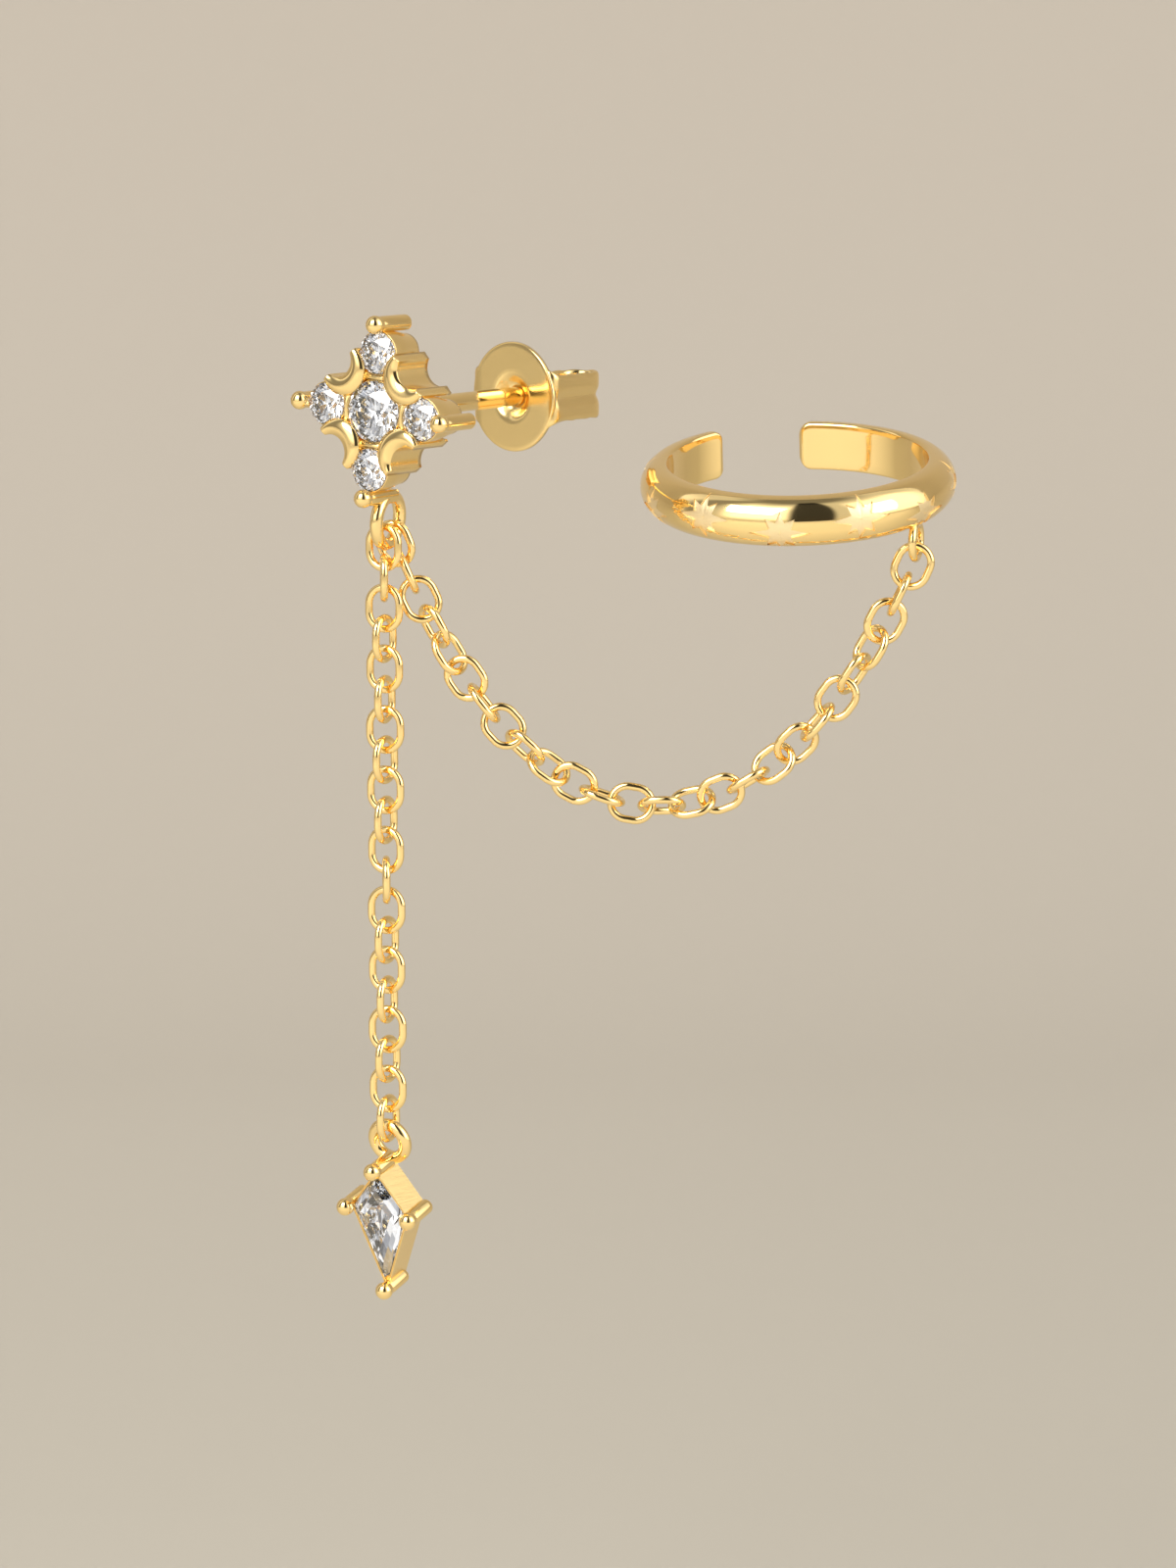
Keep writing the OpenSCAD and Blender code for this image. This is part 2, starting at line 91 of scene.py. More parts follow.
CUFF_LOOP_PLANE = -72.0
CUFF_LOOP_WIRE = 0.34
CUFF_LOOP_D = 1.75
STAR_STEP = 30.0
STAR_W = 2.6
STAR_H = 1.8
STAR_LEVELS = (-0.3, 0.12)
KITE_HALF_W = 1.28
KITE_UP = 1.7
KITE_DOWN = 3.4
KITE_DEPTH = 1.3
KITE_BEAD_D = 0.74
KITE_ROD_D = 0.64
RING_WIRE = 0.54
RING_D = 2.04
RING_BACK = 0.15
KITE_TURNS = (16.0, 5.0, 4.0)
STONE_CLEAR = 0.03

# Details that only the scene has: fuller moons, tapered seats, a skewed disc and soft edges
MOON_OUTER_R = 1.08
MOON_INNER_R = 0.729
MOON_WIDTH = 0.85
MOON_HOLD = 0.13
MOON_CROWN = 0.19
MOON_HORN_LINE = 0.25
SEAT_RIM = 0.04
SEAT_LIP = 0.03
SEAT_BED = 0.16
SEAT_TAPER = 0.2
WEB_HALF_W = 0.55
WEB_BACK = 0.3
DISC_SKEW = 0.14
DISC_BEND = 0.3
DISC_BEND_AT = 1.75
DISC_EDGE = 0.08
STRIP_START = 1.35
STRIP_TURN_AT = 1.95
STRIP_TURN_R = 0.27
STRIP_BEHIND = 0.13
STRIP_BACK = 0.5
STRIP_SHARE = 0.96
STRIP_FLARE = 0.75
STRIP_GROOVE = 0.13
STRIP_GROOVE_W = 0.24
CUFF_END_SOFT = (0.34, 0.62)
STAR_WAIST = 0.55
STAR_SLANT = 0.96
STAR_DEPTH = 0.1
STAR_SHALLOWER = 0.03
KITE_FRAME_WALL = 0.13
KITE_FACETS = 16
# A kite-cut stone's rings of corners from table to culet: share of the outline, y, and turn in steps
KITE_RINGS = [
    (0.58, -0.46, 0), (0.76, -0.33, 0.5), (0.9, -0.17, 0), (1, -0.04, 0.5), (1, 0.04, 0.5),
    (0.84, 0.29, 0), (0.62, 0.57, 0.5), (0.4, 0.84, 0), (0.18, 1.09, 0.5)]
KITE_CULET = 1.26

ARM = (CENTRE_STONE_D + SIDE_STONE_D) / 2 + STONE_GAP
PRONG_R = ARM + SIDE_STONE_D / 2 - HOLD + BEAD_D / 2


# Shapes: each is (points, faces), in millimetres

def grid(rows, wrap_rows=False, wrap_cols=False):
    """Quads through rows of points, an array of (rows, columns, 3)."""
    rows = np.asarray(rows, float)
    n, m = rows.shape[:2]
    faces = []
    for i in range(n if wrap_rows else n - 1):
        for j in range(m if wrap_cols else m - 1):
            a, b = i * m + j, i * m + (j + 1) % m
            c, d = ((i + 1) % n) * m + (j + 1) % m, ((i + 1) % n) * m + j
            faces.append((a, b, c, d))
    return rows.reshape(-1, 3), faces


def lathe(profile, sides=64, centre=(0, 0)):
    """A profile of (radius, y) turned about the line along Y through centre, which is (x, z)."""
    turn = np.arange(sides) * 2 * math.pi / sides
    rows = [np.stack([centre[0] + r * np.cos(turn), np.full(sides, y), centre[1] + r * np.sin(turn)], 1)
            for r, y in profile]
    return grid(rows, wrap_cols=True)


def tube(path, radius, closed=True, sides=20):
    """A round wire along a path of points."""
    path = np.asarray(path, float)
    ahead = np.roll(path, -1, 0) - np.roll(path, 1, 0)
    if not closed:
        ahead[0], ahead[-1] = path[1] - path[0], path[-1] - path[-2]
    ahead /= np.linalg.norm(ahead, axis=1)[:, None]
    normal = np.linalg.svd(path - path.mean(0))[2][2]
    side = np.cross(ahead, normal)
    turn = np.arange(sides) * 2 * math.pi / sides
    rows = [p + radius * (np.cos(turn)[:, None] * s + np.sin(turn)[:, None] * normal)
            for p, s in zip(path, side)]
    return grid(rows, wrap_rows=closed, wrap_cols=True)


def torus(radius, wire, steps=96, sides=28):
    """A ring in the XZ plane."""
    turn = np.arange(steps) * 2 * math.pi / steps
    path = np.stack([radius * np.cos(turn), 0 * turn, radius * np.sin(turn)], 1)
    return tube(path, wire / 2, sides=sides)


def arc(centre, radius, start, end, steps):
    """Points of a circle in a plane, from one angle to another in degrees."""
    turn = np.radians(np.linspace(start, end, steps))
    return np.stack([centre[0] + radius * np.cos(turn), centre[1] + radius * np.sin(turn)], 1)


def moved(shape, matrix):
    points, faces = shape
    m = np.array(matrix)
    return points @ m[:3, :3].T + m[:3, 3], faces


def turns(x, y, z):
    """The turn that rotate([x, y, z]) makes in the part."""
    return (Matrix.Rotation(math.radians(z), 4, "Z") @ Matrix.Rotation(math.radians(y), 4, "Y")
            @ Matrix.Rotation(math.radians(x), 4, "X"))


def placed(x, y, z):
    return Matrix.Translation((x, y, z))


def new_mesh(name, points, faces, slots=None):
    """A smooth mesh from points in millimetres, with each face's material number."""
    mesh = bpy.data.meshes.new(name)
    mesh.from_pydata((np.asarray(points) * MM).tolist(), [], faces)
    mesh.polygons.foreach_set("use_smooth", [True] * len(faces))
    if slots:
        mesh.polygons.foreach_set("material_index", slots)
    return mesh


def new_object(name, data):
    obj = bpy.data.objects.new(name, data)
    bpy.context.scene.collection.objects.link(obj)
    return obj


def to_metres(matrix):
    """The same placement for points in metres."""
    scaled = matrix.copy()
    scaled.translation = scaled.translation * MM
    return scaled


class Piece:
    """Shapes gathered into one object. Each has the number of its material, and its faces are
    smooth or flat."""

    def __init__(self, name):
        self.name, self.points, self.faces, self.slots, self.flat = name, [], [], [], []

    def add(self, shape, material=0, flat=False, matrix=None):
        points, faces = shape if matrix is None else moved(shape, matrix)
        base = len(self.points)
        self.points.extend(points.tolist())
        self.faces.extend(tuple(base + i for i in f) for f in faces)
        self.slots.extend([material] * len(faces))
        self.flat.extend([flat] * len(faces))

    def build(self, materials, body, nodes, matrix=None):
        mesh = new_mesh(self.name, self.points, self.faces, self.slots)
        mesh.polygons.foreach_set("use_smooth", [not f for f in self.flat])
        for material in materials:
            mesh.materials.append(material)
        if matrix is not None:
            mesh.transform(to_metres(matrix))
        mesh.update()
        mesh.validate()
        obj = new_object(self.name, mesh)
        clean(obj)
        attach(obj, body)
        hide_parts(*nodes)
        return obj


def clean(obj):
    """Joins points that lie together and turns every face outwards."""
    work = bmesh.new()
    work.from_mesh(obj.data)
    bmesh.ops.remove_doubles(work, verts=work.verts, dist=2e-7)
    bmesh.ops.recalc_face_normals(work, faces=work.faces)
    work.to_mesh(obj.data)
    work.free()


# Materials

def new_material(name):
    material = bpy.data.materials.new(name)
    material.use_nodes = True
    nodes, links = material.node_tree.nodes, material.node_tree.links
    return material, nodes, links, nodes["Principled BSDF"]


def new_noise(nodes, links, vector, scale, detail=2):
    noise = nodes.new("ShaderNodeTexNoise")
    noise.inputs["Scale"].default_value = scale
    noise.inputs["Detail"].default_value = detail
    links.new(vector, noise.inputs["Vector"])
    return noise.outputs["Fac"]


def vary_roughness(nodes, links, shader, value, low, high):
    rough = nodes.new("ShaderNodeMapRange")
    rough.inputs["To Min"].default_value = low
    rough.inputs["To Max"].default_value = high
    links.new(value, rough.inputs["Value"])
    links.new(rough.outputs["Result"], shader.inputs["Roughness"])


def new_ramp(nodes, tones):
    """A colour ramp of (place, colour)."""
    ramp = nodes.new("ShaderNodeValToRGB")
    for k, (at, color) in enumerate([tones[0], tones[-1], *tones[1:-1]]):
        element = ramp.color_ramp.elements[k] if k < 2 else ramp.color_ramp.elements.new(at)
        element.position = at
        element.color = (*color, 1)
    return ramp


def gold(name, tone=(0.96, 0.71, 0.31), roughness=0.07, spread=0.02, wave=(900, 2e-6), grain=(12000, 0.0),
         lines=0.0):
    """Gold plate. wave and grain are (scale, depth in metres) of its broad and fine relief, and
    lines is the depth of fine marks that run along Y."""
    material, nodes, links, shader = new_material(name)
    shader.inputs["Metallic"].default_value = 1
    where = nodes.new("ShaderNodeTexCoord")
    cloud = new_noise(nodes, links, where.outputs["Object"], 350, 3)
    shade = nodes.new("ShaderNodeMix")
    shade.data_type = "RGBA"
    shade.inputs["A"].default_value = (*tone, 1)
    shade.inputs["B"].default_value = (tone[0] * 1.02, tone[1] * 1.04, tone[2] * 1.1, 1)
    links.new(cloud, shade.inputs["Factor"])
    links.new(shade.outputs["Result"], shader.inputs["Base Color"])
    vary_roughness(nodes, links, shader, cloud, roughness - spread, roughness + spread)
    drawn = nodes.new("ShaderNodeMapping")
    drawn.inputs["Scale"].default_value = (1, 0.04, 1)
    links.new(where.outputs["Object"], drawn.inputs["Vector"])
    normal = None
    for vector, scale, depth in ((where.outputs["Object"], *wave), (where.outputs["Object"], *grain),
                                 (drawn.outputs["Vector"], 11000, lines)):
        if depth:
            bump = nodes.new("ShaderNodeBump")
            bump.inputs["Distance"].default_value = depth
            links.new(new_noise(nodes, links, vector, scale), bump.inputs["Height"])
            if normal:
                links.new(normal, bump.inputs["Normal"])
            normal = bump.outputs["Normal"]
    links.new(normal, shader.inputs["Normal"])
    return material


def clear_stone(name):
    """Cut cubic zirconia, with a breath of polish marks."""
    material, nodes, links, shader = new_material(name)
    shader.inputs["Transmission Weight"].default_value = 1
    shader.inputs["IOR"].default_value = 2.4
    shader.inputs["Base Color"].default_value = (1, 1, 1, 1)
    where = nodes.new("ShaderNodeTexCoord")
    cloud = new_noise(nodes, links, where.outputs["Object"], 2500)
    vary_roughness(nodes, links, shader, cloud, 0, 0.01)
    return material


POLISHED = gold("polished_gold")
SATIN = gold("satin_gold", roughness=0.22, spread=0.05, grain=(16000, 1.5e-6), lines=5e-6)
SAND = gold("sandblasted_gold", tone=(0.98, 0.79, 0.46), roughness=0.4, spread=0.05, grain=(30000, 6e-6))
PRESSED = gold("pressed_gold", roughness=0.17, spread=0.04, grain=(9000, 8e-7))
STONE = clear_stone("clear_stone")
# The number of the rougher gold in each piece that has two
ROUGH = 1


# Stud

STONE_PLACES = [(0, 0, CENTRE_STONE_D)] + [
    (ARM * math.sin(math.radians(t)), ARM * math.cos(math.radians(t)), SIDE_STONE_D)
    for t in (0, 90, 180, 270)]
# Just in front of the stones' edges
LIP_Y = -SEAT_DEPTH - 0.12


def clear_of_stones(shape):
    """Behind the stones' upper edge, points keep out of the room of every stone."""
    points, faces = shape
    for x, z, d in STONE_PLACES:
        off = points[:, [0, 2]] - (x, z)
        far = np.linalg.norm(off, axis=1)
        room = d / 2 + STONE_CLEAR
        near = (far < room) & (points[:, 1] > LIP_Y)
        points[near] = np.stack([x + off[near, 0] / far[near] * room, points[near, 1],
                                 z + off[near, 1] / far[near] * room], 1)
    return points, faces


def seat(d, through):
    """The cup of a round stone: its thin rim lies just behind the stone's edge."""
    rim, front = d / 2 + SEAT_RIM, -SEAT_DEPTH + SEAT_LIP
    bore = bed = d / 2 - SEAT_BED
    outer = d / 2 + SEAT_WALL
    if through:
        foot = rim - SEAT_TAPER
        outside = [(foot - 0.04, 0.0), (foot, -0.04), (foot + 0.01, -0.22), (rim - 0.04, -1.0),
                   (rim, -1.25), (rim, front + 0.04)]
        bore = foot - 0.12
        back = [(bore, -0.05), (bore + 0.05, 0.0), (foot - 0.04, 0.0)]
    else:
        outside = [(0.0, 0.0), (outer - 0.05, 0.0), (outer, -0.05), (outer, front + 0.2),
                   (outer - 0.04, front + 0.16), (rim, front + 0.1), (rim, front + 0.04)]
        back = [(bore, -BACK_PLATE), (0.0, -BACK_PLATE)]
    lip = [(rim - SEAT_LIP * (1 - math.cos(t)), front + SEAT_LIP * (1 - math.sin(t)))
           for t in np.linspace(0.2, 1.57, 4)]
    inside = [(rim - 0.07, front + 0.03), (bed, front + 0.22)]
    return outside + lip + inside + back


def web():
    """The metal between the middle stone's seat and a side stone's, a low ridge along X."""
    middle_r, side_r, count = CENTRE_STONE_D / 2 + 0.02, SIDE_STONE_D / 2 + 0.02, 9
    rows, low = [], []
    for x in np.linspace(-WEB_HALF_W, WEB_HALF_W, 15):
        z = np.linspace(math.sqrt(middle_r ** 2 - x ** 2), ARM - math.sqrt(side_r ** 2 - x ** 2), count)
        dip = 0.08 * (x / WEB_HALF_W) ** 2 - 0.1 * np.sin(np.linspace(0, math.pi, count))
        rows.append(np.stack([np.full(count, x), -SEAT_DEPTH + 0.02 + dip, z], 1))
        low.append(np.stack([np.full(count, x), np.full(count, -WEB_BACK), z], 1))
    rows, low = np.array(rows), np.array(low)
    around = [np.concatenate([g[:, 0], g[-1], g[::-1, -1], g[0, ::-1]]) for g in (rows, low)]
    return grid(rows), grid(np.array(around), wrap_cols=True), grid(low)


def prong(rod, bead, back, front):
    """A rod along Y with a rounded back end, a slight neck and a bead."""
    r, b = rod / 2, bead / 2
    meet = math.acos(min(1, 0.93 * r / b))
    profile = [(r * math.sin(t), back - 0.22 * (1 - math.cos(t))) for t in np.linspace(0, math.pi / 2, 9)]
    profile += [(r, back - 0.3), (r, front + b + 0.06), (0.95 * r, front + b * math.sin(meet) + 0.05)]
    profile += [(b * math.cos(t), front + b * math.sin(t)) for t in np.linspace(meet, -math.pi / 2, 24)]
    return profile


def moon():
    """A crescent along +Z from the middle: satin walls and a crowned, polished front."""
    middle = CENTRE_STONE_D / 2 - MOON_HOLD + MOON_OUTER_R
    apart = MOON_WIDTH + MOON_INNER_R - MOON_OUTER_R
    # The horns end bluntly on a line across the crescent
    outer_end = math.degrees(math.acos(MOON_HORN_LINE / MOON_OUTER_R))
    inner_end = math.degrees(math.acos((MOON_HORN_LINE - apart) / MOON_INNER_R))
    share = np.sin(np.linspace(-math.pi / 2, math.pi / 2, 49)) / 2 + 0.5
    outer, inner = [], []
    for t in share:
        o = math.radians(outer_end + t * (360 - 2 * outer_end))
        i = math.radians(inner_end + t * (360 - 2 * inner_end))
        outer.append((middle + MOON_OUTER_R * math.cos(o), MOON_OUTER_R * math.sin(o)))
        inner.append((middle + apart + MOON_INNER_R * math.cos(i), MOON_INNER_R * math.sin(i)))
    base = -SEAT_DEPTH - MOON_RISE + MOON_CROWN
    top = []
    for k, (o, i) in enumerate(zip(np.array(outer), np.array(inner))):
        full = (np.linalg.norm(o - i) / MOON_WIDTH) ** 0.4
        end = min(k, len(share) - 1 - k)
        full *= (0.0, 0.6, 0.85, 0.95)[end] if end < 4 else 1
        row = []
        for u in np.linspace(-1, 1, 19):
            across = math.sin(u * math.pi / 2)
            p = (o + i) / 2 - (o - i) / 2 * across
            row.append((p[1], base - MOON_CROWN * full * (1 - abs(across) ** 2.2) ** 0.85, p[0]))
        top.append(row)
    top = np.array(top)
    outline = np.concatenate([top[:, 0], top[::-1, -1]])
    levels = [base, base + 0.02, LIP_Y - 0.01, LIP_Y + 0.01] + list(np.linspace(LIP_Y + 0.2, -0.04, 8))
    wall = [np.stack([outline[:, 0], np.full(len(outline), y), outline[:, 2]], 1) for y in levels]
    half = len(outline) // 2
    back = [(wall[-1][k], wall[-1][-1 - k]) for k in range(half)]
    return grid(top), grid(wall, wrap_cols=True), grid(np.array(back))


def make_stud():
    stud = Piece("stud")
    stud.add(lathe(seat(CENTRE_STONE_D, False), 96), ROUGH)
    for turn in range(0, 360, 90):
        a = math.radians(turn)
        x, z = math.sin(a), math.cos(a)
        stud.add(lathe(seat(SIDE_STONE_D, True), 72, (ARM * x, ARM * z)), ROUGH)
        rod = prong(ROD_D, BEAD_D, 0, -SEAT_DEPTH - BEAD_FRONT)
        stud.add(clear_of_stones(lathe(rod, 40, (PRONG_R * x, PRONG_R * z))))
        for shape, material in zip(moon(), (0, ROUGH, ROUGH)):
            stud.add(clear_of_stones(moved(shape, turns(0, turn + 45, 0))), material)
        for shape in web():
            stud.add(shape, ROUGH, matrix=turns(0, turn, 0))
    r = POST_D / 2
    post = [(0, -BACK_PLATE), (r, -BACK_PLATE), (r, 0), (r, LOBE_ROOM + DIMPLE_H),
            (r - POST_DRAW, LOBE_ROOM + DIMPLE_H + SHEET + BOND), (r - POST_TIP, POST_L - POST_TIP),
            (r - 1.6 * POST_TIP, POST_L - 0.2 * POST_TIP), (0, POST_L)]
    stud.add(lathe(post, 48))
    loop_r = (STUD_LOOP_D - STUD_LOOP_WIRE) / 2
    hung = placed(0, LOOP_BACK - loop_r, -PRONG_R - loop_r) @ turns(0, 0, 90 + STUD_LOOP_TURN)
    stud.add(torus(loop_r, STUD_LOOP_WIRE), matrix=hung)
    stud.build([POLISHED, SATIN], "earring", ["stud_setting"], turns(0, STUD_TURN, 0))


make_stud()


# Clutch

def disc_bend(x):
    """How far back the disc lies at x from the post: it is skewed, and its sides bend into the wings."""
    return DISC_BEND * np.maximum(0, np.abs(x) - DISC_BEND_AT) ** 2 - DISC_SKEW * x


def make_clutch():
    clutch = Piece("clutch_back")
    hole, dimple, edge = POST_D / 2 + CLUTCH_CLEAR, DIMPLE_D / 2, DISC_D / 2
    fall = [(hole + (dimple - hole) * s, DIMPLE_H * (1 + math.cos(math.pi * s)) / 2)
            for s in np.linspace(0, 1, 13)]
    flat = [(r, 0) for r in np.linspace(dimple + 0.15, edge - DISC_EDGE, 8)]
    rim = [(edge - DISC_EDGE * (1 - math.sin(t)), DISC_EDGE * (1 - math.cos(t)))
           for t in np.linspace(0.3, 1.57, 4)]
    front = fall + flat + rim
    back = [(r, y + SHEET) for r, y in (fall + flat)[::-1]]
    points, faces = lathe(front + [(edge, SHEET - 0.06)] + back + [front[0]], 120)
    points[:, 1] += disc_bend(points[:, 0])
    clutch.add((points, faces))
    middle = np.array([np.linalg.norm(points[list(f)][:, [0, 2]].mean(0)) for f in faces])
    clutch.slots[-len(faces):] = [ROUGH if r < dimple else 0 for r in middle]
    # The strip runs from behind the disc round the roll and back beside the post
    roll_r = WING_W / 2 - 0.1
    roll_x, roll_y = hole + WING_W / 2, SHEET / 2 + WING_L - WING_W / 2 + STRIP_BACK
    stand_x = STRIP_TURN_AT + STRIP_TURN_R
    thick = SHEET * 0.8 / 2
    heights = np.linspace(-1, 1, 25)
    for side in (1, -1):
        bend_y = STRIP_BEHIND + float(disc_bend(side * STRIP_TURN_AT))
        line = np.concatenate([
            [(x, STRIP_BEHIND + disc_bend(side * x)) for x in np.linspace(STRIP_START, STRIP_TURN_AT, 8)],
            arc((STRIP_TURN_AT, bend_y + STRIP_TURN_R), STRIP_TURN_R, -90, 0, 9)[1:],
            [(stand_x, y) for y in np.linspace(bend_y + STRIP_TURN_R, roll_y, 9)[1:-1]],
            arc((roll_x, roll_y), roll_r, 5, 180, 26),
            [(roll_x - roll_r, y) for y in np.linspace(roll_y - 0.1, 1.15, 6)],
            arc((roll_x - roll_r + 0.26, 1.1), 0.26, 190, 290, 9)])
        ahead = np.gradient(line, axis=0)
        ahead /= np.linalg.norm(ahead, axis=1)[:, None]
        out = np.stack([ahead[:, 1], -ahead[:, 0]], 1)
        run = np.concatenate([[0], np.cumsum(np.linalg.norm(np.diff(line, axis=0), axis=1))])
        flare = STRIP_FLARE * np.maximum(0, 1 - run / 1.2) ** 1.5
        half = STRIP_SHARE * WING_H / 2 + flare + 0.02 * np.sin(run * 7) * (run > 1.4)
        skins = []
        for face in (1, -1):
            rows = []
            for p, o, s, h in zip(line, out, run, half):
                groove = STRIP_GROOVE * np.exp(-(heights * WING_H / 2 / STRIP_GROOVE_W) ** 2)
                pressed = groove * min(1, max(0, s - 0.85) / 0.5)
                round_edge = 0.05 * np.abs(heights) ** 16
                shift = face * (thick - round_edge) - pressed
                rows.append(np.stack([side * (p[0] + o[0] * shift), p[1] + o[1] * shift, heights * h], 1))
            skins.append(np.array(rows))
        outer, inner = skins
        clutch.add(grid(np.concatenate([outer, inner[:, ::-1]], 1), wrap_cols=True))
        for end in (0, -1):
            clutch.add(grid(np.stack([outer[end], inner[end]])))
    clutch.build([PRESSED, SATIN], "clutch", ["clutch"], placed(0, LOBE_ROOM, 0))


make_clutch()


# Chains

def islands(node):
    """The points of each separate solid of a CAD node, in millimetres."""
    mesh = frame["nodes"][node].data
    points = np.array([v.co for v in mesh.vertices]) / MM
    keys = {}
    same = [keys.setdefault(tuple(np.round(p, 4)), i) for i, p in enumerate(points)]
    group = list(range(len(points)))

    def root(i):
        while group[i] != i:
            group[i] = group[group[i]]
            i = group[i]
        return i

    for e in mesh.edges:
        a, b = root(same[e.vertices[0]]), root(same[e.vertices[1]])
        group[a] = b
    sets = {}
    for i in range(len(points)):
        sets.setdefault(root(same[i]), []).append(points[i])
    return [np.array(s) for s in sets.values()]


def link_path():
    """The middle of a link's wire, in the XZ plane with its length along Z."""
    bow, half = (LINK_W - LINK_WIRE) / 2, (LINK_L - LINK_W) / 2
    upper, lower = arc((0, half), bow, 0, 180, 25), arc((0, -half), bow, 180, 360, 25)
    flat = np.concatenate([upper, lower])
    return np.stack([flat[:, 0], 0 * flat[:, 0], flat[:, 1]], 1)


def make_chain(name, node):
    chain = Piece(name)
    wire = tube(link_path(), LINK_WIRE / 2, sides=16)
    for solid in islands(node):
        low, high = solid.min(0), solid.max(0)
        axes = np.linalg.svd(solid - solid.mean(0), full_matrices=False)[2]
        long, wide = axes[0], axes[1]
        middle = solid.mean(0)
        for axis in (long, wide):
            reach = (solid - middle) @ axis
            middle = middle + axis * (reach.max() + reach.min()) / 2
        turn = np.stack([wide, np.cross(long, wide), long], 1)
        matrix = Matrix.Identity(4)
        for i in range(3):
            for j in range(3):
                matrix[i][j] = turn[i][j]
            matrix[i][3] = middle[i]
        chain.add(wire, matrix=matrix)
    chain.build([POLISHED], "earring", [node])


make_chain("straight_chain", "chain_drop")
make_chain("hanging_chain", "chain_swag")


# Ear cuff

CUFF_IN_R = CUFF_INNER_D / 2
CUFF_OUT_R = CUFF_IN_R + CUFF_WALL
DOME_SAG = CUFF_WALL - CUFF_EDGE
DOME_R = (CUFF_H ** 2 / 4 + DOME_SAG ** 2) / (2 * DOME_SAG)


def dome_at(z):
    return CUFF_OUT_R - DOME_R + np.sqrt(DOME_R ** 2 - np.asarray(z) ** 2)


def cuff_section():
    """The band's section as points (radius, z): flat inside, domed outside, with soft edges."""
    half, soft, brow = CUFF_H / 2, 0.13, 0.1
    top = [(CUFF_IN_R + soft - soft * math.cos(t), half - soft + soft * math.sin(t))
           for t in np.linspace(0, math.pi / 2, 6)]
    top += [(CUFF_IN_R + CUFF_EDGE - brow, half - 0.005)]
    levels = (half - 0.06) * np.sin(np.linspace(math.pi / 2, -math.pi / 2, 41))
    dome = [(float(dome_at(z)), z) for z in levels]
    bottom = [(r, -z) for r, z in top[::-1]]
    inside = [(CUFF_IN_R, z) for z in np.linspace(-half + soft, half - soft, 7)[1:-1]]
    return np.array(top + dome + bottom + inside)


def star_cutter(at, z0, width, height):
    """The room of one engraved eight-point star, deepest in the middle and shallow at its points."""
    long, tall = width / 2, height / 2
    ray = [long, STAR_SLANT * tall, tall, STAR_SLANT * tall]
    corner = []
    for k in range(16):
        r = STAR_WAIST * tall if k % 2 else ray[(k // 2) % 4]
        corner.append((r * math.cos(math.pi * k / 8), r * math.sin(math.pi * k / 8)))
    corner = np.array(corner)
    edge = np.concatenate([corner[k] + (corner[(k + 1) % 16] - corner[k]) * np.linspace(0, 1, 4)[:-1, None]
                           for k in range(16)])
    reach = np.linalg.norm(edge, axis=1) / long

    def skin(share, lift):
        p = edge * share
        deep = STAR_DEPTH - STAR_SHALLOWER * np.clip(reach * share, 0, 1)
        z = np.clip(z0 + p[:, 1], -CUFF_H / 2 + 0.03, CUFF_H / 2 - 0.03)
        r = dome_at(z) + np.where(lift > 0, lift, -deep)
        a = math.radians(at) + p[:, 0] / CUFF_OUT_R
        return np.stack([r * np.cos(a), r * np.sin(a), z], 1)

    shares = [0.01, 0.25, 0.5, 0.75, 1.0]
    rows = [skin(s, 0) for s in shares] + [skin(s, 0.3) for s in shares[::-1]]
    return grid(rows, wrap_rows=True, wrap_cols=True)


